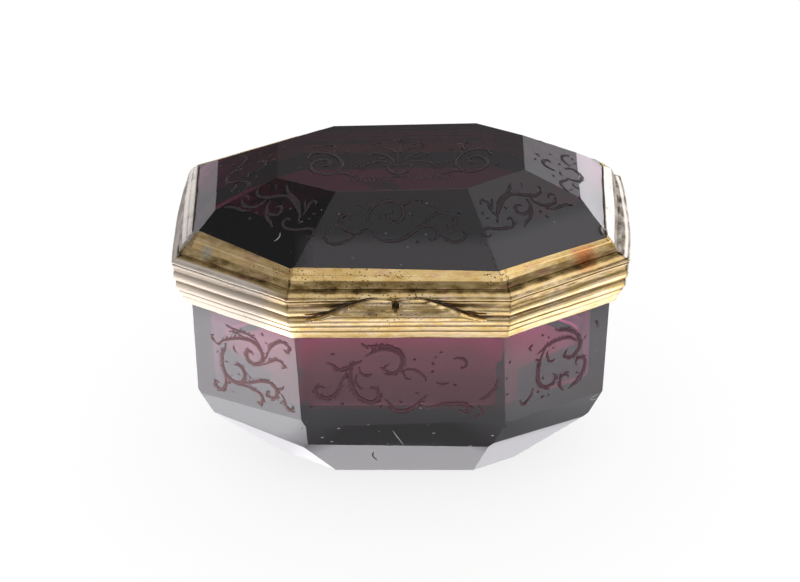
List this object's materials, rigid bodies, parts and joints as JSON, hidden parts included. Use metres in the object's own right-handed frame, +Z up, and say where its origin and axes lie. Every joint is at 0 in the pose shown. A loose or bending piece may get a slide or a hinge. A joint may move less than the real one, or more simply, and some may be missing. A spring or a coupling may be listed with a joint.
{
  "type": "glass casket box",
  "caption": "Faceted octagonal glass box in stepped brass mounts, with a thick glass lid on a knuckle hinge and a brace-shaped thumbpiece.",
  "frame": {"origin": "centre of the flat bottom face", "axes": "+X along the box, -Y towards the thumbpiece at the front, +Y towards the hinge, +Z up"},
  "size_m": [0.088, 0.0592, 0.0661],
  "materials": {
    "amethyst_glass": "cut and polished, dark amethyst, engraved scrolls",
    "gilt_brass": "worn gilding, tarnished in the grooves, pitted",
    "pin_brass": "drawn wire, rubbed",
    "bedding_cement": "dry mineral cement"
  },
  "bodies": {
    "body": {"body_glass": "amethyst_glass", "body_cement": "bedding_cement", "body_rim": "gilt_brass", "body_flange": "gilt_brass", "body_knuckle_1": "gilt_brass", "body_knuckle_2": "gilt_brass", "body_knuckle_3": "gilt_brass", "body_knuckle_4": "gilt_brass", "hinge_pin": "pin_brass", "pin_heads": "pin_brass"},
    "lid": {"lid_glass": "amethyst_glass", "lid_cement": "bedding_cement", "lid_bezel": "gilt_brass", "lid_rim": "gilt_brass", "lid_frame": "gilt_brass", "lid_knuckle_1": "gilt_brass", "lid_knuckle_2": "gilt_brass", "lid_knuckle_3": "gilt_brass", "thumbpiece": "gilt_brass"}
  },
  "joints": [
    {"name": "lid_hinge", "type": "hinge", "parent": "body", "child": "lid", "pos_m": [0, 0.0283, 0.0514], "axis": [-1, 0, 0], "range_deg": [0, 100]}
  ]
}
